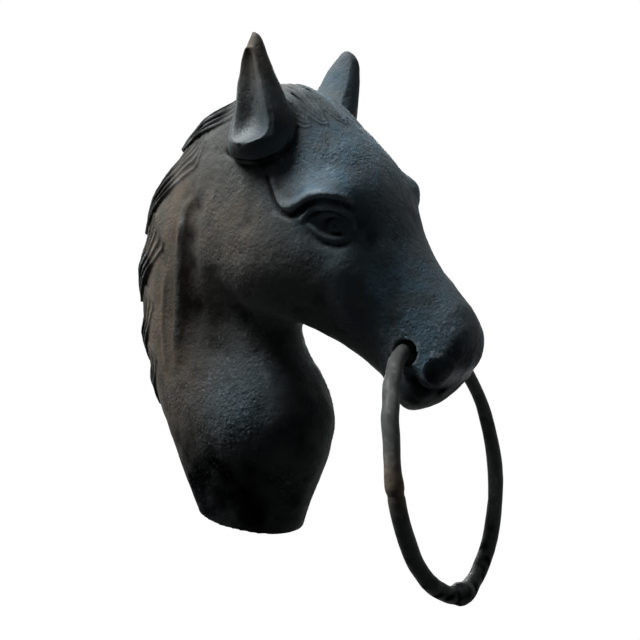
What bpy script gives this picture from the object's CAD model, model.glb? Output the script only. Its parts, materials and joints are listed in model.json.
"""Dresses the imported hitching-post top: a cast-iron horse's head with a tie ring.

The two castings are sculpted in a block of voxels from the same sections as
the solids, meshed, split on the mid-plane and finished in worn black paint.
Sizes are millimetres until a mesh is made; +X is the nose, +Y the left side.
"""

import json
import logging
import math
from dataclasses import dataclass, field
from enum import Enum

import bmesh
import bpy
import numpy as np
import openvdb as vdb
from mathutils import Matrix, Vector

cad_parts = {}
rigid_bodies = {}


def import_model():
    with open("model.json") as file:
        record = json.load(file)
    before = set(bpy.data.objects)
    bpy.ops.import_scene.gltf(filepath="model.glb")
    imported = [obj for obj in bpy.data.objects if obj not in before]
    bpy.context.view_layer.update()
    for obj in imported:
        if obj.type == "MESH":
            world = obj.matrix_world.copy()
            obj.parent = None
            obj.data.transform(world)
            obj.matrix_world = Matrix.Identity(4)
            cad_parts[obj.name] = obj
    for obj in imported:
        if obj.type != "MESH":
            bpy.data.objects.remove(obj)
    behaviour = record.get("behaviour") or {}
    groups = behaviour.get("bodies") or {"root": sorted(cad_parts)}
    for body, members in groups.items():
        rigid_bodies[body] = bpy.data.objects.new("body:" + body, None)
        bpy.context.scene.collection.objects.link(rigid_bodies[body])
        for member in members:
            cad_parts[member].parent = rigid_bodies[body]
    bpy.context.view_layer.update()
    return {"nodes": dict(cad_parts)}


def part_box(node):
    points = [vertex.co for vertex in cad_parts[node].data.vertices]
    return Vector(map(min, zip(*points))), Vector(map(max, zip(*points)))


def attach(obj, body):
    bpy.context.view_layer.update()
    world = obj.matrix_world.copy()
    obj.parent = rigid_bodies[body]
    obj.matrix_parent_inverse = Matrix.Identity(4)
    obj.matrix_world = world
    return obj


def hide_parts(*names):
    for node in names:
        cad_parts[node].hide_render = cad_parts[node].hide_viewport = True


LOG = logging.getLogger("hitching_post_top")
MM = 0.001
# Right side and left side
SIDES = (-1, 1)
# Middle of the ring's swing line, and the line's turn about the post
HINGE = (131, 0, 113.5)
YAW = 5
Array = np.ndarray
Cut = tuple[slice, slice, slice]


class Mark(Enum):
    """What is noted at each point of a mesh, for the paint to read."""

    GRIME = "grime"
    BARE = "bare"
    ROUGH = "rough"
    WARM = "warm"
    COLD = "cold"


def linear(code: str) -> tuple[float, float, float, float]:
    """Turns an sRGB hex colour into linear light.

    Args:
        code: Colour such as "#1b1c1e".

    Returns:
        Red, green, blue and alpha.
    """
    parts = [int(code[i : i + 2], 16) / 255 for i in (1, 3, 5)]
    lit = [c / 12.92 if c <= 0.04045 else ((c + 0.055) / 1.055) ** 2.4 for c in parts]
    return (*lit, 1.0)


def curve_through(points: Array, per_span: int) -> Array:
    """Runs a smooth curve through a list of points.

    Args:
        points: Rows of any number of values.
        per_span: Steps between one row and the next.

    Returns:
        The rows of the curve, the given ones among them.
    """
    rows = np.asarray(points, float)
    ends = np.vstack([2 * rows[0] - rows[1], rows, 2 * rows[-1] - rows[-2]])
    t = np.linspace(0, 1, per_span, endpoint=False)[:, None]
    spans = [catmull(*ends[i : i + 4], t) for i in range(len(rows) - 1)]
    return np.vstack([*spans, rows[-1:]])


def catmull(a: Array, b: Array, c: Array, d: Array, t: Array) -> Array:
    """Gives points between b and c on the smooth curve through a, b, c and d."""
    return 0.5 * (
        2 * b + (c - a) * t + (2 * a - 5 * b + 4 * c - d) * t**2 + (3 * b - a - 3 * c + d) * t**3
    )


def melted(a: Array, b: Array, melt: float) -> Array:
    """Joins two distance fields with a rounded inner corner.

    Args:
        a: One field, negative inside.
        b: The other field.
        melt: Size of the rounding in millimetres.

    Returns:
        The field of both together.
    """
    if melt <= 0:
        return np.minimum(a, b)
    overlap = np.clip(melt - np.abs(a - b), 0, None) / melt
    return np.minimum(a, b) - overlap * overlap * (melt / 4)


@dataclass(frozen=True)
class Sections:
    """Sections of the head from foot to nose, as the castings have them.

    Each row: crest x, z, throat x, z, half width, where the section is
    fullest, and how square it is on the crest and on the throat side.
    """

    rows: tuple[tuple[float, ...], ...] = (
        (-36.5, -1.5, 37.5, -12.5, 32, 0.50, 2.0, 2.0),
        (-46, 14, 44.6, 6, 33, 0.50, 2.0, 2.0),
        (-58.4, 39, 55.8, 34, 36, 0.52, 2.0, 2.2),
        (-72, 65, 59.5, 60, 38, 0.54, 1.9, 2.5),
        (-81, 91, 51.5, 83, 38, 0.56, 1.8, 2.5),
        (-87, 118, 39.8, 102.5, 36, 0.58, 1.8, 2.4),
        (-88, 147, 36, 118, 35, 0.60, 1.8, 2.3),
        (-84, 178, 42, 124, 37, 0.62, 1.8, 2.4),
        (-70, 210, 49, 126, 40, 0.62, 1.9, 2.4),
        (-44, 239, 57, 124, 42, 0.60, 2.0, 2.4),
        (-14, 261, 65, 121, 43, 0.58, 2.1, 2.4),
        (20, 274, 73, 117, 44, 0.54, 2.3, 2.3),
        (53, 268, 81, 113, 45, 0.48, 2.5, 2.2),
        (83.4, 243.6, 88, 108, 44, 0.42, 2.6, 2.0),
        (103, 223, 95, 104, 41, 0.38, 2.6, 2.0),
        (115.4, 201.8, 102, 98.6, 33, 0.38, 2.5, 2.0),
        (125.4, 181.7, 108, 94, 28, 0.41, 2.4, 2.1),
        (136.6, 164.8, 113, 87, 26, 0.47, 2.4, 2.2),
        (149, 151, 117, 82, 26, 0.52, 2.3, 2.3),
        (159.6, 139.4, 126, 77, 26, 0.56, 2.3, 2.3),
        (165.8, 126.4, 137, 80, 25, 0.56, 2.3, 2.3),
        (165, 115, 147, 88.5, 18, 0.52, 2.2, 2.2),
        (163, 108, 155, 96, 0, 0.50, 2.0, 2.0),
    )
    # Swells and hollows of the sides: x, z, length, height, tilt, rise
    swells: tuple[tuple[float, ...], ...] = (
        (94, 206, 22, 11, 6, 7),
        (96, 187, 15, 10, -12, -5.5),
        (42, 160, 32, 34, 0, 6),
        (-5, 118, 23, 38, 8, -8.5),
        (16, 56, 34, 27, -30, 6),
        (16, 16, 40, 16, 0, -2),
        (155, 101, 10, 10, 0, 3.5),
        (66, 219, 13, 13, 0, -2),
    )
    fade_width: float = 18

    def row(self, place: Array) -> Array:
        """Gives rows at places counted in rows from the foot.

        Args:
            place: Places along the head.

        Returns:
            One row for each place.
        """
        rows = np.array(self.rows, float)
        ends = np.vstack([2 * rows[0] - rows[1], rows, 2 * rows[-1] - rows[-2]])
        i = np.clip(np.floor(place).astype(int), 0, len(rows) - 2)
        t = (np.asarray(place) - i)[:, None]
        return catmull(ends[i], ends[i + 1], ends[i + 2], ends[i + 3], t)

    def swell(self, x: Array, z: Array) -> Array:
        """Adds up the swells of the side at each x and z.

        Args:
            x: Places towards the nose.
            z: Heights.

        Returns:
            How far the side stands out at each.
        """
        total = np.zeros_like(x)
        for at_x, at_z, length, height, tilt, rise in self.swells:
            c, s = math.cos(math.radians(tilt)), math.sin(math.radians(tilt))
            u = (x - at_x) * c + (z - at_z) * s
            v = (z - at_z) * c - (x - at_x) * s
            total += rise * np.exp(-((u / length) ** 2) - (v / height) ** 2)
        return total

    def skin(self, place: Array, turn: Array) -> Array:
        """Gives points of the skin.

        Args:
            place: Rows from the foot.
            turn: Degrees from the crest (0) to the throat (180), negative
                on the right side.

        Returns:
            Points, one row each.
        """
        crest_x, crest_z, throat_x, throat_z, half, m, by_crest, by_throat = self.row(place).T
        side = np.sign(turn)
        a = np.radians(np.abs(turn))
        crestward = np.abs(turn) <= 90
        n = np.where(crestward, by_crest, by_throat)
        c = np.sign(np.cos(a)) * np.abs(np.cos(a)) ** (2 / n)
        t = np.where(crestward, m * (1 - c), m - (1 - m) * c)
        x = crest_x + (throat_x - crest_x) * t
        z = crest_z + (throat_z - crest_z) * t
        width = np.clip(half, 0, None)
        y = width * np.abs(np.sin(a)) ** (2 / n)
        y += np.abs(np.sin(a)) * np.minimum(1, width / self.fade_width) * self.swell(x, z)
        return np.stack([x, side * np.clip(y, 0, None), z], 1)

    def core(self, place: Array) -> Array:
        """Gives the middle of each section, for pushing outwards from it.

        Args:
            place: Rows from the foot.

        Returns:
            Points, one row each.
        """
        crest_x, crest_z, throat_x, throat_z, _, m = self.row(place).T[:6]
        x = crest_x + (throat_x - crest_x) * m
        z = crest_z + (throat_z - crest_z) * m
        return np.stack([x, np.zeros_like(x), z], 1)


class Clay:
    """A block of voxels that holds the distance to a surface, inside negative."""

    def __init__(self, low: tuple, high: tuple, step: float, reach: float) -> None:
        """Makes an empty block.

        Args:
            low: Lowest corner in millimetres.
            high: Highest corner.
            step: Edge of a voxel.
            reach: Farthest distance that is kept.
        """
        self.step = step
        self.reach = reach
        self.base = np.floor(np.array(low) / step).astype(int)
        self.size = np.ceil(np.array(high) / step).astype(int) - self.base
        self.axes = [(self.base[i] + np.arange(self.size[i])) * step for i in range(3)]
        self.field = np.full(self.size, reach, np.float32)

    def solid(self, points: Array, tris: Array, quads: Array) -> Array:
        """Turns a closed mesh into a field over the whole block.

        Args:
            points: Points of the mesh.
            tris: Its triangles.
            quads: Its quads.

        Returns:
            Distance of every voxel.
        """
        grid = vdb.FloatGrid.createLevelSetFromPolygons(
            points.astype(np.float32),
            tris.astype(np.uint32),
            quads.astype(np.uint32),
            vdb.createLinearTransform(self.step),
            self.reach / self.step,
        )
        out = np.empty(tuple(self.size), np.float32)
        grid.copyToArray(out, tuple(int(b) for b in self.base))
        return out

    def block(self, low: Array, high: Array) -> tuple[Cut, list[Array]]:
        """Picks the part of the block between two corners.

        Args:
            low: Lowest corner.
            high: Highest corner.

        Returns:
            The slices and the three axes of that part.
        """
        first = np.clip(np.floor(np.array(low) / self.step).astype(int) - self.base, 0, self.size)
        last = np.clip(np.ceil(np.array(high) / self.step).astype(int) - self.base, 0, self.size)
        cut = tuple(slice(int(a), int(b)) for a, b in zip(first, last))
        x, y, z = (self.axes[i][cut[i]].astype(np.float32) for i in range(3))
        return cut, [x[:, None, None], y[None, :, None], z[None, None, :]]

    def join(self, cut: Cut, shape: Array, melt: float) -> None:
        """Adds a shape to the clay."""
        self.field[cut] = melted(self.field[cut], shape, melt)

    def take(self, cut: Cut, shape: Array, melt: float) -> None:
        """Cuts a shape out of the clay."""
        self.field[cut] = -melted(-self.field[cut], shape, melt)

    def near(self, path: Array, extra: Array, pad: float) -> tuple[Cut, Array, Array]:
        """Measures how far each voxel lies from a line of points.

        Args:
            path: Points of the line.
            extra: One value for each point, carried along the line.
            pad: How far round the line to look.

        Returns:
            The slices, the distance and the carried value.
        """
        cut, (x, y, z) = self.block(path.min(0) - pad, path.max(0) + pad)
        shape = np.broadcast_shapes(x.shape, y.shape, z.shape)
        best = np.full(shape, 1e9, np.float32)
        value = np.zeros(shape, np.float32)
        for p, q, a, b in zip(path[:-1], path[1:], extra[:-1], extra[1:]):
            d = q - p
            long = float(d @ d) or 1e-9
            t = ((x - p[0]) * d[0] + (y - p[1]) * d[1] + (z - p[2]) * d[2]) / long
            t = np.clip(t, 0, 1)
            far = (
                (x - p[0] - t * d[0]) ** 2
                + (y - p[1] - t * d[1]) ** 2
                + (z - p[2] - t * d[2]) ** 2
            )
            closer = far < best
            best = np.where(closer, far, best)
            value = np.where(closer, a + (b - a) * t, value)
        return cut, np.sqrt(best), value

    def tube(self, path: Array, radii: Array, melt: float) -> None:
        """Adds a tapering roll of clay along a line."""
        cut, far, radius = self.near(path, radii, float(radii.max()) + melt + 2)
        self.join(cut, far - radius, melt)

    def stroke(self, path: Array, rises: Array, width: float) -> None:
        """Pushes the surface out, or in, along a line."""
        cut, far, rise = self.near(path, rises, 2.6 * width)
        self.field[cut] -= rise * np.exp(-((far / width) ** 2))

    def rod(self, start: tuple, end: tuple, radius: float, melt: float = 0) -> None:
        """Cuts a round hole with flat ends.

        Args:
            start: Middle of one end.
            end: Middle of the other.
            radius: Half the hole's width.
            melt: Rounding of its rim.
        """
        p, q = np.array(start, float), np.array(end, float)
        pad = radius + melt + 1
        cut, (x, y, z) = self.block(np.minimum(p, q) - pad, np.maximum(p, q) + pad)
        d = (q - p) / np.linalg.norm(q - p)
        along = (x - p[0]) * d[0] + (y - p[1]) * d[1] + (z - p[2]) * d[2]
        far = np.sqrt(
            (x - p[0] - along * d[0]) ** 2
            + (y - p[1] - along * d[1]) ** 2
            + (z - p[2] - along * d[2]) ** 2
        )
        inside = np.maximum(np.maximum(-along, along - np.linalg.norm(q - p)), far - radius)
        self.take(cut, inside, melt)

    def egg(self, centre: tuple, radii: tuple, melt: float, hollow: bool = False) -> None:
        """Adds an egg of clay, or scoops one out.

        Args:
            centre: Middle of the egg.
            radii: Half its length, width and height.
            melt: Rounding where it meets the clay.
            hollow: Whether it is scooped out.
        """
        r = np.array(radii, float)
        c = np.array(centre, float)
        pad = melt + self.reach
        cut, (x, y, z) = self.block(c - r - pad, c + r + pad)
        u, v, w = (x - c[0]) / r[0], (y - c[1]) / r[1], (z - c[2]) / r[2]
        size = np.sqrt(u * u + v * v + w * w)
        slope = np.sqrt((u / r[0]) ** 2 + (v / r[1]) ** 2 + (w / r[2]) ** 2) + 1e-6
        shape = size * (size - 1) / slope
        if hollow:
            self.take(cut, shape, melt)
        else:
            self.join(cut, shape, melt)

    def drop(self, flat: Array, side: int) -> Array:
        """Drops points onto one side of the surface.

        Args:
            flat: Points as x and z.
            side: -1 for the right side and 1 for the left.

        Returns:
            Points in space.
        """
        out = []
        for x, z in flat:
            ix = int(round(x / self.step)) - self.base[0]
            iz = int(round(z / self.step)) - self.base[2]
            out.append((x, self.first(self.field[ix, :, iz], side), z))
        return np.array(out, float)

    def first(self, column: Array, side: int) -> float:
        """Finds where a column of voxels first meets the surface from outside.

        Args:
            column: Field along y.
            side: -1 for the right side and 1 for the left.

        Returns:
            The surface's y.
        """
        order = column if side < 0 else column[::-1]
        place = self.axes[1] if side < 0 else self.axes[1][::-1]
        i = int(np.argmax(order < 0))
        if i == 0:
            return float(place[len(place) // 2])
        t = order[i - 1] / (order[i - 1] - order[i])
        return float(place[i - 1] + (place[i] - place[i - 1]) * t)

    def softened(self, radius: float) -> Array:
        """Averages the field over a cube: it rises on edges and sinks in hollows.

        Args:
            radius: Half the cube's edge.

        Returns:
            The averaged field.
        """
        n = max(1, round(radius / self.step))
        out = self.field
        for axis in range(3):
            wide = [(0, 0)] * 3
            wide[axis] = (n + 1, n)
            total = np.cumsum(np.pad(out, wide, mode="edge"), axis=axis, dtype=np.float32)
            count = out.shape[axis]
            last = np.take(total, np.arange(2 * n + 1, 2 * n + 1 + count), axis=axis)
            first = np.take(total, np.arange(count), axis=axis)
            out = (last - first) / (2 * n + 1)
        return out

    def sample(self, values: Array, points: Array) -> Array:
        """Reads values of the block at points in space.

        Args:
            values: One value for each voxel.
            points: Points in millimetres.

        Returns:
            One value for each point.
        """
        place = points / self.step - self.base
        low = np.clip(np.floor(place).astype(int), 0, self.size - 2)
        return blend_corners(values, low, np.clip(place - low, 0, 1))

    def skin(self) -> tuple[Array, Array]:
        """Meshes the surface as points in millimetres and quads that face outwards.

        Returns:
            The points and the quads.
        """
        grid = vdb.FloatGrid(self.reach)
        grid.copyFromArray(self.field, tuple(int(b) for b in self.base))
        grid.transform = vdb.createLinearTransform(self.step)
        points, quads = grid.convertToQuads(0.0)
        a, b, c = (points[quads[:, i]].astype(float) for i in range(3))
        if np.einsum("ij,ij->i", a, np.cross(b, c)).sum() < 0:
            quads = quads[:, ::-1]
        return points.astype(float), quads


def lattice_noise(points: Array, cell: float, seed: int) -> Array:
    """Gives smooth noise between -1 and 1 at each point.

    Args:
        points: Points in millimetres.
        cell: Size of a bump in millimetres.
        seed: Start of the random draw.

    Returns:
        One value for each point.
    """
    count = 64
    table = np.random.RandomState(seed).uniform(-1, 1, (count, count, count))
    scaled = points / cell
    low = np.floor(scaled).astype(int)
    t = scaled - low
    return blend_corners(table, low, t * t * (3 - 2 * t))


def blend_corners(table: Array, low: Array, t: Array) -> Array:
    """Blends the eight values round each point, starting again past the table's end.

    Args:
        table: Values on a grid.
        low: Grid place below each point.
        t: How far each point lies towards the next place, from 0 to 1.

    Returns:
        One value for each point.
    """
    total = np.zeros(len(t))
    for corner in range(8):
        bits = [(corner >> k) & 1 for k in range(3)]
        weight = np.prod([t[:, k] if bits[k] else 1 - t[:, k] for k in range(3)], axis=0)
        total += weight * table[tuple((low[:, k] + bits[k]) % table.shape[k] for k in range(3))]
    return total


def closed_tube(points: Array, around: int) -> tuple[Array, Array, Array]:
    """Joins rings of points into a tube and closes its ends.

    Args:
        points: Points, ring after ring.
        around: Points in each ring.

    Returns:
        The points with the ends' middles, the ends' triangles and the quads.
    """
    n = len(points)
    i = np.arange(n // around - 1)[:, None] * around
    j = np.arange(around)[None, :]
    k = (j + 1) % around
    quads = np.stack([i + j, i + k, i + around + k, i + around + j], -1).reshape(-1, 4)
    ring = np.arange(around)
    after = np.roll(ring, -1)
    low = np.stack([np.full(around, n), after, ring], 1)
    top = np.stack([ring + n - around, after + n - around, np.full(around, n + 1)], 1)
    ends = np.vstack([points[:around].mean(0), points[-around:].mean(0)])
    return np.vstack([points, ends]), np.vstack([low, top]), quads


def oval(middle: tuple[float, float], radii: tuple[float, float], count: int) -> Array:
    """Gives points round an oval.

    Args:
        middle: Its middle as x and z.
        radii: Half its length and height.
        count: Points, the first of which is also the last.

    Returns:
        Points as x and z.
    """
    turns = np.linspace(0, 2 * math.pi, count)
    x, z = middle[0] + radii[0] * np.cos(turns), middle[1] + radii[1] * np.sin(turns)
    return np.stack([x, z], 1)


def turned_from(turns: Array, start: float) -> Array:
    """Gives each turn's degrees from a start, between -180 and 180."""
    return (turns - start + 540) % 360 - 180


def outer_shell(points: Array, quads: Array) -> tuple[Array, Array]:
    """Keeps the largest shell and drops the bubbles that are shut in under the strands.

    Args:
        points: Points of the mesh.
        quads: Its faces.

    Returns:
        The points and faces of the largest shell.
    """
    label = np.arange(len(points))
    while True:
        low = label[quads].min(axis=1)
        new = label.copy()
        np.minimum.at(new, quads.ravel(), np.repeat(low, 4))
        new = new[new]
        if np.array_equal(new, label):
            break
        label = new
    shell = label[quads[:, 0]]
    kept = quads[shell == np.bincount(shell).argmax()]
    used = np.unique(kept)
    place = np.zeros(len(points), int)
    place[used] = np.arange(len(used))
    return points[used], place[kept]


def mesh_piece(name: str, points: Array, faces: Array) -> bpy.types.Object:
    """Makes an object from points in millimetres and its faces.

    Args:
        name: Name of the object.
        points: Points of the mesh.
        faces: Numbers of each face's points.

    Returns:
        The object.
    """
    mesh = bpy.data.meshes.new(name)
    mesh.from_pydata((points * MM).tolist(), [], faces.tolist())
    mesh.update()
    piece = bpy.data.objects.new(name, mesh)
    bpy.context.scene.collection.objects.link(piece)
    return piece


def mark(piece: bpy.types.Object, kind: Mark, values: Array) -> None:
    """Keeps one value for each point of a mesh, for the paint to read."""
    data = piece.data.attributes.new(kind.value, "FLOAT", "POINT").data
    data.foreach_set("value", values.astype(np.float32))


def mesh_points(piece: bpy.types.Object) -> Array:
    """Gives a mesh's points in millimetres.

    Args:
        piece: Object with the mesh.

    Returns:
        Points, one row each.
    """
    flat = np.empty(len(piece.data.vertices) * 3, np.float32)
    piece.data.vertices.foreach_get("co", flat)
    return flat.reshape(-1, 3).astype(float) / MM


def ramp(values: Array, start: float, end: float) -> Array:
    """Goes from 0 at start to 1 at end, and stays there."""
    return np.clip((values - start) / (end - start), 0, 1)


@dataclass(frozen=True)
class Line:
    """A ridge or groove: points as x, z, its width and its rise at the middle."""

    points: tuple[tuple[float, float], ...]
    width: float
    rise: float
    # Share of its length over which each end fades out
    taper: float = 0.35
    sides: tuple[int, ...] = SIDES

    def press(self, clay: Clay) -> None:
        """Works the line into the clay on its sides.

        Args:
            clay: Clay to work.
        """
        for side in self.sides:
            path = curve_through(clay.drop(np.array(self.points, float), side), 5)
            t = np.linspace(0, 1, len(path))
            ends = np.minimum(t, 1 - t) / self.taper
            rises = self.rise * np.clip(ends, 0, 1) ** 0.7
            clay.stroke(path, rises, self.width)


@dataclass(frozen=True)
class Lock:
    """A lock of the mane, laid on the skin from its root to its tip."""

    # Places as rows of the sections and degrees from the crest
    root: tuple[float, float]
    tip: tuple[float, float]
    strands: int
    spread: float
    lift: float
    radius: float
    wave: float = 0
    # Shares of its length: where it stands full, how it narrows, how its tip sinks
    full_at: float = 0.5
    narrowing: float = 0.55
    sink: float = 0.25
    # Share at the root that stays under the skin
    hidden: float = 0
    # Points along a strand, how much lower every other one lies, and its rounding
    points: int = 17
    lower: float = 0.7
    melt: float = 0.5

    def lay(self, clay: Clay, sections: Sections) -> None:
        """Rolls the strands out side by side, broad at the root and meeting at the tip.

        Args:
            clay: Clay to work.
            sections: Sections that the skin follows.
        """
        t = np.linspace(0, 1, self.points)
        broad = np.minimum(1, 0.5 + t / 0.3) * (1 - t) ** self.narrowing
        rise = np.clip((t - self.hidden) / (self.full_at - self.hidden), 0.1, 1) ** 0.9
        rise = rise * (1 - self.sink * ramp(t, 0.6, 1))
        for k in range(self.strands):
            s = k / max(self.strands - 1, 1) - 0.5
            place = self.root[0] + (self.tip[0] - self.root[0]) * t * (1 - 0.05 * (k % 3))
            turn = self.root[1] + (self.tip[1] - self.root[1]) * t
            turn = turn + self.spread * s * broad + self.wave * np.sin(2 * np.pi * t)
            turn = np.where(np.abs(turn) < 0.5, 0.5, turn)
            skin = sections.skin(place, turn)
            out = skin - sections.core(place)
            out /= np.linalg.norm(out, axis=1)[:, None]
            radii = self.radius * (0.5 + 0.5 * broad / broad.max())
            high = (self.lift * (1 - 1.5 * s * s) - self.lower * (k % 2)) * rise
            clay.tube(skin + out * (high - radii)[:, None], radii, self.melt)


@dataclass
class HorseHead:
    """The two castings of the head, sculpted as one and split on the mid-plane."""

    step: float = 0.75
    reach: float = 9.0
    low: tuple[float, float, float] = (-108, -66, -22)
    high: tuple[float, float, float] = (178, 66, 308)
    sections: Sections = field(default_factory=Sections)
    most_triangles: int = 190_000
    # Degrees between faces from which an edge stays sharp
    sharp_from: float = 60
    # Field of the head before the mane, which shows where the mane stands proud
    plain: Array | None = field(default=None, init=False, repr=False)
    halves: tuple[tuple[int, str, str], ...] = (
        (-1, "right_casting", "right_half"),
        (1, "left_casting", "left_half"),
    )

    # Each ear from root to tip: z, x, outwards, half length, half width, turn
    right_ear: tuple[tuple[float, ...], ...] = (
        (216, 38, 23, 10, 9, 0),
        (222, 38, 27, 15, 13, 2),
        (226, 38.5, 32, 19.5, 15.5, 2),
        (230, 39, 35, 22, 17, 2),
        (236, 40, 37, 23, 17.8, 1),
        (243, 41, 38, 22.3, 17, 0),
        (252, 41.8, 39.5, 20, 15, -3),
        (262, 41.2, 41.5, 16.4, 12.2, -5),
        (274, 39.7, 42.5, 12.9, 9.4, -7),
        (285, 39.3, 43.5, 9.2, 6.8, -10),
        (293, 40.0, 44, 5.8, 4.4, -10),
        (299, 40.2, 44.2, 2.8, 2.2, 0),
        (301.5, 38.8, 44, 0.9, 0.9, 0),
    )
    left_ear: tuple[tuple[float, ...], ...] = (
        (216, 38, 23, 10, 9, 0),
        (222, 37, 27, 15, 13, 2),
        (226, 37, 32, 18.5, 15.5, 2),
        (230, 37, 34.5, 20, 17, 2),
        (236, 37.3, 36, 21, 17.8, 2),
        (242, 37, 36, 21, 17, 2),
        (251, 37.5, 38, 20, 15, 2),
        (262, 39, 41, 18.2, 11.6, 0),
        (274, 41, 44, 15.6, 9.2, -3),
        (285, 43, 46.5, 12.2, 7.2, -6),
        (292, 44.5, 48, 9.2, 5.4, -8),
        (297, 45, 48.5, 5.5, 3.5, -8),
        (300, 45, 48.5, 2, 1.5, 0),
    )
    # Scoop of an ear: z, half angle of its mouth, depth under a flat floor
    scoop: tuple[tuple[float, ...], ...] = (
        (235.5, 8, 0),
        (238.5, 29, 0.4),
        (242.5, 39, 2.4),
        (248, 44, 4.4),
        (257, 46, 5.0),
        (266, 47, 4.4),
        (275, 47, 3.4),
        (283, 44, 2.2),
        (289, 34, 0.9),
        (293, 8, 0),
    )
    # Degrees round the ear of the scoop's middle and of its sharp edge
    scoop_at: float = -94
    edge_at: float = 54
    # That edge's rise as a share and its spread, and the raised rim of the scoop
    edge_rise: float = 0.17
    edge_spread: float = 24
    scoop_rim_rise: float = 1.6
    scoop_rim_width: float = 1.2
    ear_melt: float = 1.2

    # Folds of the face
    lines: tuple[Line, ...] = (
        # lip of the brow and the crease under it
        Line(
            (
                (51, 216), (54, 208), (59, 201.5), (66, 198.5), (74, 201), (83, 204.5),
                (91, 205.5), (99, 204), (106, 200.5),
            ),
            2.6, 3.6,
        ),
        Line(
            (
                (46, 218), (50, 211), (54, 203), (59, 196), (66, 193), (73, 195.5),
                (80, 199.5), (88, 201.8), (95, 201.6), (101, 199.6), (106, 195),
            ),
            1.9, -4.6,
        ),
        # fold and edge of the upper lid
        Line(
            (
                (72.5, 189), (77, 193.6), (82, 196.8), (88, 198), (93, 197.8), (98, 196.4),
                (102, 193), (104, 188), (104, 182.5),
            ),
            1.6, 3.4,
        ),
        Line(((77, 190.5), (84, 194.6), (90, 195.8), (96, 195), (101, 191.5)), 1.0, -1.4),
        Line(((83, 190), (88, 192.6), (93, 193.4), (98, 191.8), (101, 188.5)), 1.3, 1.9),
        # lower lid and the groove round it
        Line(((78, 189), (82, 184.5), (88, 181), (94, 179.4), (99, 179.8), (102.5, 183)), 1.9, 2.8),
        Line(((83, 186.5), (88, 183.2), (94, 181.8), (99, 182.5)), 1.1, -1.2),
        Line(
            (
                (78, 184.5), (85, 179), (91, 176.2), (97, 175.4), (102, 177.2), (105.5, 182),
            ),
            2.6, -1.3,
        ),
        Line(((108, 184), (112, 179), (117, 173)), 7, -1.0),
        # jaw's edge behind the cheek and under it
        Line(((50, 124), (32, 127), (16, 135), (6, 147), (2, 162)), 9, -3.0, 0.4),
        Line(((94, 170), (110, 152), (127, 131)), 9, 2.6),
        # crease under the ear
        Line(
            (
                (9, 235), (14, 230), (30, 226), (43, 225), (52, 227), (60, 232),
                (63, 239),
            ),
            1.8, -1.6,
        ),
        # edge of the neck's muscle towards the throat, and the far brow
        Line(((26, 106), (34, 93), (41, 80), (45, 66), (46, 52)), 7, 1.2, 0.3),
        Line(((86, 215), (96, 213), (105, 208), (109, 202)), 8, 4.0, 0.4, (1,)),
        # edge of the crest's smooth band, under the mane on the left side
        Line(
            (
                (-1, 214), (-13, 197), (-18, 178), (-21, 155), (-23, 132), (-25, 108),
                (-28, 84),
            ),
            8, -2.4, 0.3,
        ),
        Line(
            (
                (-9, 213), (-23, 196), (-28, 178), (-31, 155), (-33, 132), (-35, 110),
                (-34, 90),
            ),
            3.5, 1.7, 0.25,
        ),
        Line(((-44, 160), (-47, 140), (-48, 118), (-45, 92)), 3, 0.9, 0.3),
        # mouth, lower lip and chin
        Line(((136, 104), (139, 99), (143, 94.5), (148, 92.5)), 2.2, -3.4, 0.3),
        Line(((130, 103), (135, 96.5), (141, 88)), 2.4, 2.2),
        Line(((125, 91), (131, 86.5), (138, 83)), 2.4, 1.0),
    )
    locks: tuple[Lock, ...] = (
        # over the crest, seen from both sides
        Lock((10.8, -12), (8.88, -12), 10, 52, 5.6, 2.1, 0, 0.68, hidden=0.16),
        Lock((9.7, -22), (7.08, -13), 11, 56, 4.9, 2.1, 0, 0.74, hidden=0.37),
        Lock((7.7, -27), (5.54, -13), 10, 60, 5.4, 2.1, 0, 0.67, hidden=0.39),
        Lock((6.0, -25), (4.08, -12), 9, 56, 4.4, 2.0, 0, 0.68, hidden=0.41),
        Lock((4.6, -22), (2.85, -10), 8, 52, 4.2, 2.0, 0, 0.67, hidden=0.35),
        # down the left side of the neck
        Lock((11.2, 12), (8.8, 60), 13, 54, 5.6, 2.6, 6),
        Lock((9.9, 6), (7.4, 70), 15, 60, 6.0, 2.6, 7),
        Lock((8.6, 6), (6.0, 74), 15, 60, 6.0, 2.6, 7),
        Lock((7.3, 6), (4.8, 74), 15, 60, 6.0, 2.6, 7),
        Lock((6.0, 6), (3.7, 68), 14, 58, 5.6, 2.6, 6),
        Lock((4.9, 6), (2.9, 52), 12, 48, 4.8, 2.5, 5),
        # forelock between the ears
        Lock((11.2, -28), (12.5, -37), 5, 26, 2.6, 1.2, 2, 0.3, 0.35, 0.8),
        Lock((11.0, -13), (12.72, -22), 5, 30, 2.8, 1.2, 2, 0.3, 0.35, 0.8),
        Lock((11.0, 4), (12.8, -2), 5, 30, 2.8, 1.2, 2, 0.3, 0.35, 0.8),
        Lock((11.0, 20), (12.7, 19), 5, 30, 2.8, 1.2, -2, 0.3, 0.35, 0.8),
        Lock((11.2, 34), (12.5, 38), 4, 22, 2.6, 1.2, -2, 0.3, 0.35, 0.8),
    )

    # Eye as x and z, its ball and how deep that sits
    eye: tuple[float, float] = (92.5, 187)
    ball: tuple[float, float, float] = (13, 11, 9)
    ball_in: float = 8.5
    # Where it looks from its middle, the iris's groove and the pupil
    look: tuple[float, float] = (2, 0.5)
    iris: tuple[float, float] = (5, 4.6)
    iris_rise: float = -0.7
    iris_width: float = 1.0
    pupil: tuple[float, float, float] = (2.2, 1.1, 2.2)
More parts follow.
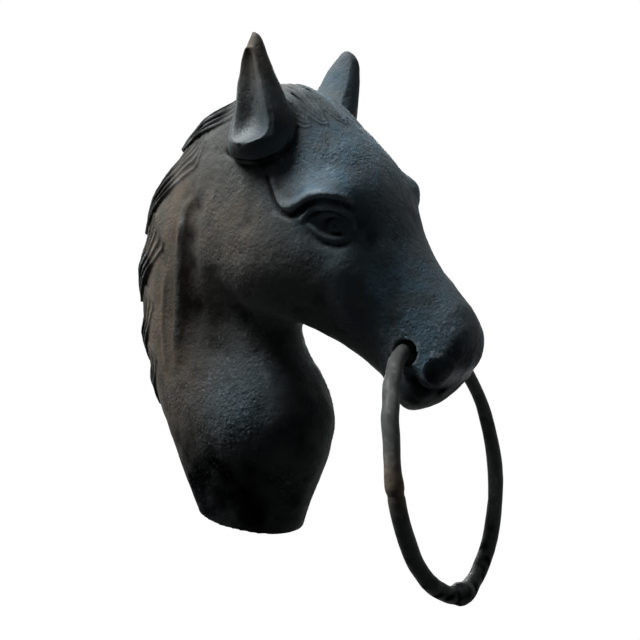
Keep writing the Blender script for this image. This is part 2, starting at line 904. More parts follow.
    # Nostril as x and z, its rim and the egg that hollows it
    nostril: tuple[float, float] = (153, 103.6)
    nostril_rim: tuple[float, float] = (6.9, 6.5)
    nostril_rim_rise: float = 0.25
    nostril_rim_width: float = 2.8
    nostril_egg: tuple[float, float, float] = (9.0, 7.9, 8.4)
    nostril_egg_at: tuple[float, float, float] = (1.0, 4.8, 0.4)
    # Ring's holes, and the room for its bar between them
    hole_up: float = 0.6
    hole_radius: float = 7.9
    room_half: float = 23.4
    room_radius: float = 11.2
    # Sleeve's seat and the set screws' holes
    seat_top: float = 62
    seat_radius: float = 25.95
    set_turns: tuple[float, float] = (58, 122)
    set_z: float = 27
    set_radius: float = 4
    # Uneven skin of the casting: depth, size of a bump and start of its random draw
    waves: tuple[tuple[float, float, int], ...] = ((0.32, 9, 3), (0.12, 3, 5))
    lump_depth: float = 0.55
    # How far round a point the clay is averaged to find edges and hollows
    fine_reach: float = 2.2
    broad_reach: float = 7.5
    # Where wear starts and is full, on those averages and on the mane's height
    crease_span: tuple[float, float] = (0.06, 0.6)
    hollow_span: tuple[float, float] = (0.3, 2.4)
    edge_span: tuple[float, float] = (0.2, 0.7)
    proud_span: tuple[float, float] = (0.3, 1.3)
    # Places on the sides, as x, z, radius, strength and side (0 for both)
    rough_spots: tuple[tuple[float, ...], ...] = (
        (6, 72, 36, 0.8, 0),
        (30, 165, 22, 0.4, 0),
        (78, 230, 24, 0.7, 0),
        (148, 122, 18, 0.5, 0),
        (131, 114, 13, 0.8, 0),
        (40, 270, 34, -0.9, 0),
    )
    warm_spots: tuple[tuple[float, ...], ...] = (
        (-60, 120, 48, 1.0, 0),
        (-45, 195, 45, 0.9, 0),
        (-40, 55, 35, 0.7, 0),
        (25, 185, 26, 0.6, 0),
        (40, 288, 16, 0.8, -1),
    )
    cold_spots: tuple[tuple[float, ...], ...] = (
        (75, 235, 34, 1.0, 0),
        (95, 195, 26, 0.7, 0),
        (125, 150, 28, 1.0, 0),
        (145, 115, 24, 0.8, 0),
        (20, 75, 30, 0.7, 0),
        (42, 275, 26, 0.6, 1),
    )
    dark_spots: tuple[tuple[float, ...], ...] = (
        (22, 5, 48, 1.0, 0),
        (-35, 18, 46, 0.65, -1),
        (56, 70, 28, 0.5, 0),
        (-8, 130, 32, 0.62, -1),
        (72, 122, 26, 0.5, 0),
        (112, 196, 16, 0.4, 0),
        (140, 84, 18, 0.6, 0),
        (152, 88, 15, 0.7, 0),
        (165, 108, 15, 0.9, 0),
        (154, 103.5, 6.5, -1.2, 0),
        (62, 255, 17, 0.8, -1),
        (42, 231, 15, 0.3, 0),
        (-20, 30, 34, 0.25, -1),
        (10, 84, 34, 0.3, -1),
    )
    pale_spots: tuple[tuple[float, ...], ...] = (
        (34, 245, 9, 0.42, 0),
        (37, 264, 11, 0.12, 0),
        (72, 224, 16, 0.14, 0),
        (60, 200, 12, 0.12, 0),
        (155.5, 100.5, 4.5, 0.9, 0),
        (66, 256, 12, 0.14, 0),
        (149, 107, 6, -0.4, 0),
    )
    tie_screws: tuple[str, ...] = ("neck_screw", "cheek_screw", "face_screw")
    screw_head: float = 4
    counterbore: float = 5.4

    def sculpt(self) -> Clay:
        """Works the clay from the bare head to the finished one.

        Returns:
            The finished clay.
        """
        clay = Clay(self.low, self.high, self.step, self.reach)
        clay.field = self.bare(clay)
        self.plain = clay.field.copy()
        for lock in self.locks:
            lock.lay(clay, self.sections)
        for side in SIDES:
            self.add_ear(clay, side)
        for side in SIDES:
            self.add_eye(clay, side)
        for line in self.lines:
            line.press(clay)
        for side in SIDES:
            self.add_pupil(clay, side)
            self.cut_nostril(clay, side)
        self.cut_holes(clay)
        return clay

    def bare(self, clay: Clay) -> Array:
        """Fills the block with the plain head.

        Args:
            clay: Block to fill.

        Returns:
            Distance of every voxel.
        """
        last = len(self.sections.rows) - 1
        places = np.linspace(0, last - 1e-6, last * 10 + 1)
        half = np.linspace(0, 180, 61)
        turns = np.concatenate([half, -half[-2:0:-1]])
        q, a = np.meshgrid(places, turns, indexing="ij")
        points = self.sections.skin(q.ravel(), a.ravel())
        return clay.solid(*closed_tube(points, len(turns)))

    def add_ear(self, clay: Clay, side: int) -> None:
        """Adds one ear with its scoop turned out and a little back.

        Args:
            clay: Clay to work.
            side: -1 for the right side and 1 for the left.
        """
        table = self.right_ear if side < 0 else self.left_ear
        rows = curve_through(np.array(table, float), 8)
        turns = np.arange(0, 360, 3.0)
        a = np.radians(turns)
        scoop = curve_through(np.array(self.scoop, float), 6)
        off = turned_from(turns, self.scoop_at)
        from_edge = np.abs(turned_from(turns, self.edge_at))
        corner = 1 + self.edge_rise * np.exp(-from_edge / self.edge_spread)
        points = []
        for z, x, out, long, wide, turn in rows:
            u, v = long * np.cos(a) * corner, wide * np.sin(a) * corner
            if scoop[0, 0] < z < scoop[-1, 0]:
                width = np.interp(z, scoop[:, 0], scoop[:, 1])
                deep = np.interp(z, scoop[:, 0], scoop[:, 2])
                reach = np.hypot(u, v)
                front = np.interp(0, np.sort(off), reach[np.argsort(off)])
                facing = np.maximum(np.cos(np.radians(off)), 0.05)
                flat = front * math.cos(math.radians(width)) / facing
                floor = flat - deep * np.clip(1 - (off / width) ** 8, 0, 1)
                # Millimetres from the scoop's edge; a radian is about 57 degrees
                away = (np.abs(off) - width) * front / 57
                rim = self.scoop_rim_rise * np.exp(-((away / self.scoop_rim_width) ** 2))
                scale = np.where(np.abs(off) < 90, np.minimum(reach, floor), reach) + rim
                u, v = u * scale / reach, v * scale / reach
            c, w = math.cos(math.radians(turn)), math.sin(math.radians(turn))
            across = -out + u * w + v * c
            points.append(np.stack([x + u * c - v * w, -side * across, np.full_like(a, z)], 1))
        everything = (slice(None),) * 3
        shape = clay.solid(*closed_tube(np.vstack(points), len(turns)))
        clay.join(everything, shape, self.ear_melt)

    def add_eye(self, clay: Clay, side: int) -> None:
        """Sets an eyeball into the socket.

        Args:
            clay: Clay to work.
            side: -1 for the right side and 1 for the left.
        """
        x, z = self.eye
        y = clay.drop(np.array([[x, z]]), side)[0, 1]
        clay.egg((x, y - side * self.ball_in, z), self.ball, 1.0)

    def add_pupil(self, clay: Clay, side: int) -> None:
        """Draws the iris on the eyeball and sinks the pupil.

        Args:
            clay: Clay to work.
            side: -1 for the right side and 1 for the left.
        """
        x, z = self.eye[0] + self.look[0], self.eye[1] + self.look[1]
        y = clay.drop(np.array([[x, z]]), side)[0, 1]
        path = clay.drop(oval((x, z), self.iris, 25), side)
        clay.stroke(path, np.full(len(path), self.iris_rise), self.iris_width)
        clay.egg((x, y, z), self.pupil, 0.8, hollow=True)

    def cut_nostril(self, clay: Clay, side: int) -> None:
        """Hollows a nostril with a soft raised rim.

        Args:
            clay: Clay to work.
            side: -1 for the right side and 1 for the left.
        """
        path = clay.drop(oval(self.nostril, self.nostril_rim, 33), side)
        clay.stroke(path, np.full(len(path), self.nostril_rim_rise), self.nostril_rim_width)
        forward, out, up = self.nostril_egg_at
        middle = path.mean(0) + np.array([forward, side * out, up])
        clay.egg(tuple(middle), self.nostril_egg, 1.2, hollow=True)

    def cut_holes(self, clay: Clay) -> None:
        """Cuts the ring's holes, the sleeve's seat and the screw holes.

        Args:
            clay: Clay to work.
        """
        yaw = math.radians(YAW)
        along = np.array([-math.sin(yaw), math.cos(yaw), 0])
        hinge = np.array(HINGE, float)
        over = hinge + np.array([0, 0, self.hole_up])
        clay.rod(tuple(over - along * 50), tuple(over + along * 50), self.hole_radius, 0.8)
        room = along * self.room_half
        clay.rod(tuple(hinge - room), tuple(hinge + room), self.room_radius)
        clay.rod((0, 0, -30), (0, 0, self.seat_top), self.seat_radius)
        for node in self.tie_screws:
            low, high = np.array(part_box(node)) / MM
            x, z = (low[0] + high[0]) / 2, (low[2] + high[2]) / 2
            clay.rod((x, high[1] - self.screw_head, z), (x, high[1] + 25, z), self.counterbore)
        for turn in self.set_turns:
            c, s = math.cos(math.radians(turn)), math.sin(math.radians(turn))
            start, end = (20 * c, 20 * s, self.set_z), (60 * c, 60 * s, self.set_z)
            clay.rod(start, end, self.set_radius)

    def build(self, paint: "PaintedIron") -> list[bpy.types.Object]:
        """Makes the right and left casting and dresses them.

        Args:
            paint: Finish of both castings.

        Returns:
            The two pieces.
        """
        clay = self.sculpt()
        points, quads = outer_shell(*clay.skin())
        normal = vertex_normals(points, quads)
        grain = sum(depth * lattice_noise(points, cell, seed) for depth, cell, seed in self.waves)
        grain += self.rough(points) * self.lump_depth * np.clip(self.lumps(points) - 0.15, 0, None)
        points = points + normal * grain[:, None]
        fine, broad = clay.softened(self.fine_reach), clay.softened(self.broad_reach)
        LOG.info("head: %d points, %d quads", len(points), len(quads))
        whole = mesh_piece("head_whole", points, quads)
        material = paint.material()
        pieces = []
        for side, name, node in self.halves:
            piece = self.half(whole, side, name)
            self.wear(piece, clay, fine, broad)
            piece.data.materials.append(material)
            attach(piece, "head")
            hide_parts(node)
            LOG.info("%s: %d faces", name, len(piece.data.polygons))
            pieces.append(piece)
        bpy.data.objects.remove(whole)
        return pieces

    def lumps(self, points: Array) -> Array:
        """Gives the sand's lumps, about 1.5 mm across."""
        return lattice_noise(points, 1.5, 17)

    def rough(self, points: Array) -> Array:
        """Says where the casting is rough, from 0 to 1.

        Args:
            points: Points of the mesh.

        Returns:
            One value for each point.
        """
        spots = self.near_spots(points, self.rough_spots)
        return np.clip(spots + 0.12 + 0.5 * lattice_noise(points, 24, 13), 0, 1)

    def near_spots(self, points: Array, spots: tuple[tuple[float, ...], ...]) -> Array:
        """Adds up soft spots on the sides.

        Args:
            points: Points of the mesh.
            spots: Each one's x, z, radius, strength and side (0 for both).

        Returns:
            One value for each point.
        """
        total = np.zeros(len(points))
        for x, z, radius, strength, side in spots:
            far = np.hypot(points[:, 0] - x, points[:, 2] - z) / radius
            here = 1 if side == 0 else ramp(points[:, 1] * side, -12, 8)
            total += strength * np.exp(-far * far) * here
        return total

    def wear(self, piece: bpy.types.Object, clay: Clay, fine: Array, broad: Array) -> None:
        """Marks grime in hollows, bare edges and specks, and warm and cold paint.

        Args:
            piece: Casting to mark.
            clay: The finished clay.
            fine: Its field averaged close by.
            broad: Its field averaged farther round.
        """
        points = mesh_points(piece)
        edge, hollow = clay.sample(fine, points), clay.sample(broad, points)
        cloud = lattice_noise(points, 9, 19)
        # Soot in creases and hollows and over the mane, thinner down the mane's left side
        soot = self.near_spots(points, self.dark_spots) * (0.85 + 0.3 * cloud)
        mane = clay.sample(self.plain, points)
        proud = ramp(mane, *self.proud_span) * ramp(points[:, 0], 14, 8)
        crease = 0.85 * ramp(-edge, *self.crease_span) + 0.4 * ramp(-hollow, *self.hollow_span)
        crease += np.minimum(soot, 0)
        film = np.clip(soot + proud * (0.4 + 0.45 * ramp(points[:, 1], 30, -10)), 0, 1.25)
        both = 1 - (1 - np.clip(crease, 0, 1)) * (1 - np.clip(film, 0, 1))
        mark(piece, Mark.GRIME, np.maximum(film, both))
        # Bare iron on the sand's lumps, on rubbed edges below the ear tips and in pale spots
        specks = ramp(self.lumps(points), 0.45, 0.65) * ramp(cloud, -0.2, 0.4) * self.rough(points)
        rubbed = 0.36 * ramp(edge, *self.edge_span) * ramp(cloud, -0.5, 0.5)
        rubbed = rubbed * ramp(points[:, 2], 285, 240) * (1 - 0.8 * np.clip(soot, 0, 1))
        pale = self.near_spots(points, self.pale_spots)
        mark(piece, Mark.BARE, np.clip(rubbed + 0.25 * specks + pale, 0, 1))
        mark(piece, Mark.ROUGH, self.rough(points))
        for kind, spots in ((Mark.WARM, self.warm_spots), (Mark.COLD, self.cold_spots)):
            mark(piece, kind, np.clip(self.near_spots(points, spots) * (0.8 + 0.4 * cloud), 0, 1))

    def half(self, whole: bpy.types.Object, side: int, name: str) -> bpy.types.Object:
        """Cuts one casting from the whole head and closes its joint face.

        Args:
            whole: The head before it is split.
            side: -1 for the right side and 1 for the left.
            name: Name of the casting.

        Returns:
            The casting.
        """
        bm = bmesh.new()
        bm.from_mesh(whole.data)
        everything = [*bm.verts, *bm.edges, *bm.faces]
        found = bmesh.ops.bisect_plane(
            bm,
            geom=everything,
            dist=1e-6,
            plane_co=(0, 0, 0),
            plane_no=(0, side, 0),
            clear_inner=True,
        )
        rims = (e for e in found["geom_cut"] if isinstance(e, bmesh.types.BMEdge))
        edges = [e for e in rims if e.is_boundary]
        bmesh.ops.triangle_fill(bm, edges=edges, use_beauty=True, normal=(0, -side, 0))
        mesh = bpy.data.meshes.new(name)
        bm.to_mesh(mesh)
        bm.free()
        piece = bpy.data.objects.new(name, mesh)
        bpy.context.scene.collection.objects.link(piece)
        triangles = sum(len(p.vertices) - 2 for p in mesh.polygons)
        if triangles > self.most_triangles:
            thin = piece.modifiers.new("thin", "DECIMATE")
            thin.ratio = self.most_triangles / triangles
            graph = bpy.context.evaluated_depsgraph_get()
            piece.data = bpy.data.meshes.new_from_object(piece.evaluated_get(graph))
            piece.modifiers.clear()
            bpy.data.meshes.remove(mesh)
            piece.data.name = name
        piece.data.polygons.foreach_set("use_smooth", [True] * len(piece.data.polygons))
        piece.data.set_sharp_from_angle(angle=math.radians(self.sharp_from))
        return piece


def vertex_normals(points: Array, quads: Array) -> Array:
    """Gives the outward direction at each point of a quad mesh.

    Args:
        points: Points of the mesh.
        quads: Its faces.

    Returns:
        Directions, one row for each point.
    """
    a, b, c, d = (points[quads[:, i]] for i in range(4))
    face = np.cross(c - a, d - b)
    out = np.zeros_like(points)
    for i in range(4):
        for k in range(3):
            out[:, k] += np.bincount(quads[:, i], weights=face[:, k], minlength=len(points))
    return out / (np.linalg.norm(out, axis=1)[:, None] + 1e-12)


@dataclass
class TieRing:
    """The ring through the muzzle, bent by use and forged to a blunt point."""

    radius: float = 74.5
    bar: float = 4.9
    steps: int = 288
    bar_sides: int = 28
    # How far its middle hangs under the swing line, and the low end's lean forwards
    hang: float = 69.8
    lean: float = 10.5
    # Thick and thin places of the bar as degrees, spread and growth
    uneven: tuple[tuple[float, float, float], ...] = (
        (177, 9, 1.2),
        (300, 28, -0.7),
        (92, 1.3, -0.55),
        (88, 4, 0.5),
    )
    # Blunt point at the low end, in the same way
    point: tuple[float, float, float] = (173, 3, 1.4)
    # Brown place and sooty stretch as degrees and spread
    brown_at: tuple[float, float] = (86, 9)
    sooty_at: tuple[float, float] = (172, 62)
    roughness: float = 0.2
    # Degrees from the top towards the right side, growth outwards, set forwards
    bends: tuple[tuple[float, float, float], ...] = (
        (0, 0, 0),
        (25, 0.4, -2.4),
        (40, -0.6, -0.4),
        (55, -1.2, 2.0),
        (71, -2.4, 3.4),
        (90, -1.4, 3.6),
        (110, -1.4, 3.0),
        (130, -1.4, 1.4),
        (150, -0.4, 1.2),
        (166, 1.4, 2.0),
        (178, 2.0, 3.2),
        (190, 0.2, 3.2),
        (205, -0.8, 3.0),
        (225, -0.6, 3.2),
        (255, 0.6, 3.6),
        (285, 0.2, 3.0),
        (315, 0, 1.4),
        (360, 0, 0),
    )

    def build(self, finish: "PaintedIron") -> bpy.types.Object:
        """Sweeps the bar round the ring and dresses it.

        Args:
            finish: Finish of the ring.

        Returns:
            The ring.
        """
        steps, sides = self.steps, self.bar_sides
        turn = np.arange(steps) * 360 / steps
        bends = np.array(self.bends)
        grow = smooth_between(turn, bends[:, 0], bends[:, 1])
        forward = smooth_between(turn, bends[:, 0], bends[:, 2])
        a = np.radians(turn)
        reach = self.radius + grow
        line = np.stack([forward, -reach * np.sin(a), reach * np.cos(a)], 1)
        ahead = np.roll(line, -1, 0) - np.roll(line, 1, 0)
        ahead /= np.linalg.norm(ahead, axis=1)[:, None]
        front = np.array([1.0, 0, 0]) - ahead[:, :1] * ahead
        front /= np.linalg.norm(front, axis=1)[:, None]
        out = np.cross(ahead, front)
        width = self.bar * (1 + 0.02 * np.sin(a * 7 + 1) + 0.015 * np.sin(a * 13))
        for at, wide, growth in self.uneven:
            width = width + growth * np.exp(-(((turn - at) / wide) ** 2))
        at, wide, growth = self.point
        width = width + growth * np.exp(-np.abs(turn - at) / wide)
        b = np.arange(sides) * 2 * math.pi / sides
        points = (
            line[:, None, :]
            + width[:, None, None] * np.cos(b)[None, :, None] * out[:, None, :]
            + width[:, None, None] * np.sin(b)[None, :, None] * front[:, None, :]
        ).reshape(-1, 3)
        i = np.arange(steps)[:, None] * sides
        j = np.arange(sides)[None, :]
        k = (j + 1) % sides
        n = (i + sides) % (steps * sides)
        quads = np.stack([i + j, n + j, n + k, i + k], -1).reshape(-1, 4)
        dents = 0.12 * lattice_noise(points, 5, 11)
        points = points + vertex_normals(points, quads) * dents[:, None]
        piece = mesh_piece("tie_ring", self.place(points), quads)
        piece.data.polygons.foreach_set("use_smooth", [True] * len(quads))
        spread = np.repeat(turn, sides)
        cloud = lattice_noise(points, 4, 23)
        at, wide = self.brown_at
        mark(piece, Mark.WARM, np.exp(-(((spread - at) / wide) ** 2)))
        at, wide = self.sooty_at
        low = np.exp(-(((spread - at) / wide) ** 4))
        mark(piece, Mark.GRIME, np.clip(0.35 * ramp(-cloud, 0.0, 0.7) + 0.75 * low, 0, 1))
        mark(piece, Mark.BARE, 0.12 * ramp(lattice_noise(points, 2, 29), 0.3, 0.6) * (1 - low))
        mark(piece, Mark.ROUGH, np.full(len(points), self.roughness))
        piece.data.materials.append(finish.material())
        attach(piece, "ring")
        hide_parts("hitching_ring")
        LOG.info("tie_ring: %d faces", len(quads))
        return piece

    def place(self, points: Array) -> Array:
        """Moves the ring from its own plane to where it hangs in the muzzle.

        Args:
            points: Points round the ring's own middle.

        Returns:
            The points where they hang.
        """
        x, y, z = points[:, 0], points[:, 1], points[:, 2] - self.hang
        lean, yaw = math.radians(-self.lean), math.radians(YAW)
        x, z = x * math.cos(lean) + z * math.sin(lean), z * math.cos(lean) - x * math.sin(lean)
        x, y = x * math.cos(yaw) - y * math.sin(yaw), x * math.sin(yaw) + y * math.cos(yaw)
        return np.stack([x, y, z], 1) + np.array(HINGE)


def smooth_between(at: Array, places: Array, values: Array) -> Array:
    """Eases from one value to the next along a list of places.

    Args:
        at: Places to fill in.
        places: Places with a value.
        values: Their values.

    Returns:
        One value for each place to fill in.
    """
    i = np.clip(np.searchsorted(places, at, side="right") - 1, 0, len(places) - 2)
    t = (at - places[i]) / (places[i + 1] - places[i])
    t = t * t * (3 - 2 * t)
    return values[i] * (1 - t) + values[i + 1] * t


def add(tree: bpy.types.NodeTree, kind: str, settings: dict, links: dict) -> bpy.types.Node:
    """Adds a node.

    Args:
        tree: Tree that gets the node.
        kind: Blender's name of the node's type.
        settings: Values of its properties, and of its sockets by name or number.
        links: Output sockets for its inputs, by name or number.

    Returns:
        The node.
    """
    node = tree.nodes.new(kind)
    for key, value in settings.items():
        if isinstance(key, str) and hasattr(node, key):
            setattr(node, key, value)
        else:
            node.inputs[key].default_value = value
    for key, output in links.items():
        tree.links.new(output, node.inputs[key])
    return node


def empty_material(name: str) -> tuple[bpy.types.Material, bpy.types.NodeTree]:
    """Makes a material with no nodes in it.

    Args:
        name: Name of the material.

    Returns:
        The material and its tree.
    """
    material = bpy.data.materials.new(name)
    material.use_nodes = True
    material.node_tree.nodes.clear()
    return material, material.node_tree


@dataclass(frozen=True)
class PaintedIron:
    """Sand-cast grey iron under old black paint: grainy, half matt, worn on edges."""

    name: str
    black: str = "#424544"
    brown: str = "#574e44"
    steel: str = "#415663"
    dirt: str = "#0b0c0e"
    chip: str = "#a9b0b2"
    roughness: float = 0.5
    gloss: float = 0.03
    # Grain and pits of the mould's sand, drawn coarser than they are so that they show
    grain_mm: float = 2.2
    pit_mm: float = 3.2
    bump_mm: float = 0.9
    # Patches of thin paint and soot, and flecks of bare iron
    patch_mm: float = 7
    fleck_mm: float = 1.1

    def material(self) -> bpy.types.Material:
        """Builds the paint's nodes.

        Returns:
            The material.
        """
        material, tree = empty_material(self.name)
        place = add(tree, "ShaderNodeTexCoord", {}, {}).outputs["Object"]
        scale = {"operation": "SCALE", "Scale": 1 / MM}
        mm = add(tree, "ShaderNodeVectorMath", scale, {0: place}).outputs[0]
        noises = (
            {"Scale": 1 / self.grain_mm, "Detail": 4.0, "Roughness": 0.6},
            {"Scale": 1 / self.patch_mm, "Detail": 5.0, "Roughness": 0.68},
            {"Scale": 1 / self.fleck_mm, "Detail": 2.0},
        )
        grain, patch, fleck = (
            add(tree, "ShaderNodeTexNoise", noise, {"Vector": mm}).outputs["Fac"]
            for noise in noises
        )
        cells = {"Scale": 1 / self.pit_mm, "feature": "F1"}
        pits = add(tree, "ShaderNodeTexVoronoi", cells, {"Vector": mm}).outputs["Distance"]
        marks = {}
        for kind in Mark:
            node = add(tree, "ShaderNodeAttribute", {"attribute_name": kind.value}, {})
            marks[kind] = node.outputs["Fac"]
        # Each use of a pattern or a mark: its source, what it goes from and what to
        uses = {
            "uneven": (patch, 0.3, 0.7, 0.55, 1.25),
            "sooty": (patch, 0.3, 0.7, 0.8, 1.1),
            "roughness": (patch, 0.3, 0.7, self.roughness - 0.08, self.roughness + 0.12),
            "dots": (fleck, 0.35, 0.65, 0.35, 1.0),
            "sand": (fleck, 0.6, 0.75, 0.0, 0.22),
            "pit": (pits, 0.0, 0.35, 0.0, 1.0),
            "grainy": (marks[Mark.ROUGH], 0.0, 1.0, 0.35, 1.0),
            "shine": (marks[Mark.GRIME], 0.0, 1.0, self.gloss, 0.0),
        }
        ends = ("From Min", "From Max", "To Min", "To Max")
        eased = {
            use: add(tree, "ShaderNodeMapRange", dict(zip(ends, to)), {0: source}).outputs[0]
            for use, (source, *to) in uses.items()
        }
        colour = linear(self.black)
        for kind, tint, by in (
            (Mark.COLD, self.steel, "uneven"),
            (Mark.WARM, self.brown, "uneven"),
            (Mark.GRIME, self.dirt, "sooty"),
        ):
            share = add(
                tree,
                "ShaderNodeMath",
                {"operation": "MULTIPLY", "use_clamp": True},
                {0: marks[kind], 1: eased[by]},
            ).outputs[0]
            settings, links = {"data_type": "RGBA", 7: linear(tint)}, {0: share}
            if isinstance(colour, tuple):
                settings[6] = colour
            else:
                links[6] = colour
            colour = add(tree, "ShaderNodeMix", settings, links).outputs[2]
        worn = add(
            tree,
            "ShaderNodeMath",
            {"operation": "MULTIPLY"},
            {0: marks[Mark.BARE], 1: eased["dots"]},
        ).outputs[0]
        chips = add(
            tree,
            "ShaderNodeMath",
            {"operation": "MULTIPLY_ADD", "use_clamp": True},
            {0: marks[Mark.ROUGH], 1: eased["sand"], 2: worn},
        ).outputs[0]
        colour = add(
            tree,
            "ShaderNodeMix",
            {"data_type": "RGBA", 7: linear(self.chip)},
            {0: chips, 6: colour},
        ).outputs[2]
        height = add(
            tree,
            "ShaderNodeMath",
            {"operation": "MULTIPLY_ADD", 1: 0.5},
            {0: eased["pit"], 2: grain},
        ).outputs[0]
        bump = add(
            tree,
            "ShaderNodeBump",
            {"Distance": self.bump_mm * MM},
            {"Height": height, "Strength": eased["grainy"]},
        ).outputs[0]
        shader = add(
            tree,
            "ShaderNodeBsdfPrincipled",
            {"IOR": 1.5},
            {
                "Base Color": colour,
                "Roughness": eased["roughness"],
                "Specular IOR Level": eased["shine"],
                "Normal": bump,
            },
        ).outputs[0]
        add(tree, "ShaderNodeOutputMaterial", {}, {0: shader})
        return material


@dataclass(frozen=True)
class PlainSteel:
    """Turned mild steel gone dull: oily grey with fine turning marks and rust bloom."""

    name: str
    grey: str = "#6d6b68"
    rust: str = "#4a3527"
    roughness: float = 0.45
    rust_roughness: float = 0.8
    # Blooms of rust, and turning marks drawn coarser than they are so that they show
    bloom_mm: float = 4
    turning_mm: float = 0.8
    bump_mm: float = 0.2

    def material(self) -> bpy.types.Material:
        """Builds the steel's nodes.

        Returns:
            The material.
        """
        material, tree = empty_material(self.name)
        place = add(tree, "ShaderNodeTexCoord", {}, {}).outputs["Object"]
        scale = {"operation": "SCALE", "Scale": 1 / MM}
        mm = add(tree, "ShaderNodeVectorMath", scale, {0: place}).outputs[0]
        noises = (
            {"Scale": 1 / self.bloom_mm, "Detail": 5.0, "Roughness": 0.65},
            {"Scale": 1 / self.turning_mm, "Detail": 2.0},
        )
        bloom, turning = (
            add(tree, "ShaderNodeTexNoise", noise, {"Vector": mm}).outputs["Fac"]
            for noise in noises
        )
        spots = {"From Min": 0.48, "From Max": 0.66}
        mask = add(tree, "ShaderNodeMapRange", spots, {0: bloom}).outputs[0]
        colours = {"data_type": "RGBA", 6: linear(self.grey), 7: linear(self.rust)}
        colour = add(tree, "ShaderNodeMix", colours, {0: mask}).outputs[2]
        ranges = (
            {"To Min": 1.0, "To Max": 0.2},
            {"To Min": self.roughness, "To Max": self.rust_roughness},
        )
        metal, rough = (
            add(tree, "ShaderNodeMapRange", ends, {0: mask}).outputs[0] for ends in ranges
        )
        depth = {"Strength": 0.4, "Distance": self.bump_mm * MM}
        bump = add(tree, "ShaderNodeBump", depth, {"Height": turning}).outputs[0]
        shader = add(
            tree,
            "ShaderNodeBsdfPrincipled",
            {},
            {"Base Color": colour, "Metallic": metal, "Roughness": rough, "Normal": bump},
        ).outputs[0]
        add(tree, "ShaderNodeOutputMaterial", {}, {0: shader})
        return material


@dataclass
class Fittings:
    """The sleeve, screws and pins that keep their solids' shape."""

    steel_nodes: tuple[str, ...] = ("post_socket",)
    screw_nodes: tuple[str, ...] = (
        "set_screws",
        "neck_screw",
        "cheek_screw",
        "face_screw",
        "locating_pins",
    )

    def dress(self, nodes: dict[str, bpy.types.Object]) -> None:
        """Gives each solid its steel.

        Args:
            nodes: The frame's objects by node.
        """
        sleeve = PlainSteel("Dull drawn steel tube").material()
        screw = PlainSteel("Blackened screw steel", "#3c3b3a", "#3f2d22", 0.4).material()
        for names, material in ((self.steel_nodes, sleeve), (self.screw_nodes, screw)):
            for name in names:
                nodes[name].data.materials.clear()
                nodes[name].data.materials.append(material)
                LOG.info("%s: dressed", name)


@dataclass(frozen=True)
class Lamp:
    """A soft square lamp: its place, size, power and spread of light in degrees."""

    name: str
    place: tuple[float, float, float]
    size: float
    power: float
    spread: float = 70


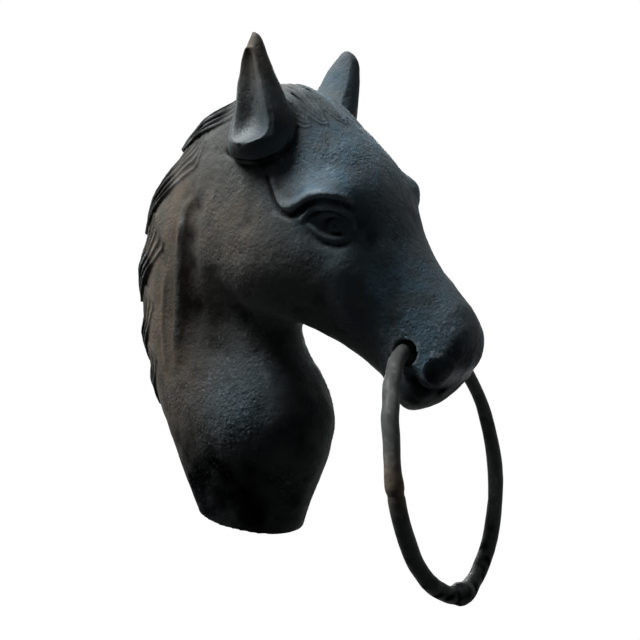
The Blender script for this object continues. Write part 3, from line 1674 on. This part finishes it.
@dataclass
class Studio:
    """Floor, lamps, world and camera."""

    target: tuple[float, float, float] = (38.9, 26.2, 124.0)
    azimuth: float = 34
    elevation: float = 5.5
    distance: float = 750
    lens: float = 63.9
    sensor: float = 36
    floor_z: float = -330
    floor_reach: float = 4000
    # Strength of the white surround where it lights the head
    world_light: float = 0.015
    lamp_aim: tuple[float, float, float] = (40, 0, 140)
    lamps: tuple[Lamp, ...] = (
        Lamp("key", (-650, -300, 1440), 760, 13.2),
        Lamp("left side", (-700, 1000, 420), 700, 3.4),
        Lamp("front", (1200, 500, 500), 800, 0.3),
    )

    def build(self) -> None:
        """Sets up everything that isn't the object."""
        self.floor()
        self.world()
        for lamp in self.lamps:
            self.hang(lamp)
        self.camera()

    def camera(self) -> None:
        """Stands the camera where the photograph was taken from."""
        a, e = math.radians(self.azimuth), math.radians(self.elevation)
        back = Vector((math.sin(a) * math.cos(e), -math.cos(a) * math.cos(e), math.sin(e)))
        data = bpy.data.cameras.new("camera")
        data.lens = self.lens
        data.sensor_width = self.sensor
        data.clip_start, data.clip_end = 0.01, 50
        camera = bpy.data.objects.new("camera", data)
        camera.location = (Vector(self.target) + back * self.distance) * MM
        camera.rotation_mode = "QUATERNION"
        camera.rotation_quaternion = (-back).to_track_quat("-Z", "Y")
        bpy.context.scene.collection.objects.link(camera)
        bpy.context.scene.camera = camera

    def hang(self, lamp: Lamp) -> None:
        """Hangs a lamp that points at the head and keeps its light there.

        Args:
            lamp: Lamp to hang.
        """
        data = bpy.data.lights.new(lamp.name, "AREA")
        data.size = lamp.size * MM
        data.energy = lamp.power
        data.spread = math.radians(lamp.spread)
        light = bpy.data.objects.new(lamp.name, data)
        light.location = Vector(lamp.place) * MM
        aim = Vector(self.lamp_aim) - Vector(lamp.place)
        light.rotation_mode = "QUATERNION"
        light.rotation_quaternion = aim.to_track_quat("-Z", "Y")
        bpy.context.scene.collection.objects.link(light)

    def floor(self) -> None:
        """Lays a wide pale floor under the head."""
        corners = ((-1, -1), (1, -1), (1, 1), (-1, 1))
        reach = self.floor_reach
        points = np.array([(x * reach, y * reach, self.floor_z) for x, y in corners], float)
        floor = mesh_piece("floor", points, np.array([[0, 1, 2, 3]]))
        material, tree = empty_material("Pale studio floor")
        place = add(tree, "ShaderNodeTexCoord", {}, {}).outputs["Object"]
        cloud = add(tree, "ShaderNodeTexNoise", {"Scale": 3.0}, {"Vector": place}).outputs["Fac"]
        dull = {"To Min": 0.8, "To Max": 0.9}
        rough = add(tree, "ShaderNodeMapRange", dull, {0: cloud}).outputs[0]
        matt = add(
            tree,
            "ShaderNodeBsdfPrincipled",
            {"Base Color": linear("#4a4a4a"), "Specular IOR Level": 0.1},
            {"Roughness": rough},
        ).outputs[0]
        glow = {"Color": (1, 1, 1, 1), "Strength": 1.0}
        white = add(tree, "ShaderNodeEmission", glow, {}).outputs[0]
        links = {0: self.seen(tree), 1: matt, 2: white}
        both = add(tree, "ShaderNodeMixShader", {}, links).outputs[0]
        add(tree, "ShaderNodeOutputMaterial", {}, {0: both})
        floor.data.materials.append(material)

    def seen(self, tree: bpy.types.NodeTree) -> bpy.types.NodeSocket:
        """Gives 1 for rays that show the background, and 0 for those that light the head.

        Args:
            tree: Tree that gets the nodes.

        Returns:
            The socket with that value.
        """
        rays = add(tree, "ShaderNodeLightPath", {}, {}).outputs
        either = rays["Is Camera Ray"]
        for other in ("Is Glossy Ray", "Is Transmission Ray"):
            links = {0: either, 1: rays[other]}
            either = add(tree, "ShaderNodeMath", {"operation": "MAXIMUM"}, links).outputs[0]
        return either

    def world(self) -> None:
        """Makes a white surround that lights the head only a little."""
        world = bpy.data.worlds.new("white surround")
        bpy.context.scene.world = world
        world.use_nodes = True
        tree = world.node_tree
        tree.nodes.clear()
        ends = {"To Min": self.world_light, "To Max": 1.0}
        strength = add(tree, "ShaderNodeMapRange", ends, {0: self.seen(tree)}).outputs[0]
        back = add(tree, "ShaderNodeBackground", {"Color": (1, 1, 1, 1)}, {"Strength": strength})
        add(tree, "ShaderNodeOutputWorld", {}, {0: back.outputs[0]})


def main() -> None:
    """Builds the pieces in order."""
    logging.basicConfig(level=logging.INFO, format="%(name)s: %(message)s")
    for old in list(bpy.data.objects):
        bpy.data.objects.remove(old)
    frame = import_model()
    bpy.context.scene.view_settings.view_transform = "Standard"
    HorseHead().build(PaintedIron("Black-painted cast iron"))
    TieRing().build(PaintedIron("Worn black ring iron", gloss=0.04, roughness=0.45, bump_mm=0.35))
    Fittings().dress(frame["nodes"])
    Studio().build()


if __name__ == "__main__":
    main()
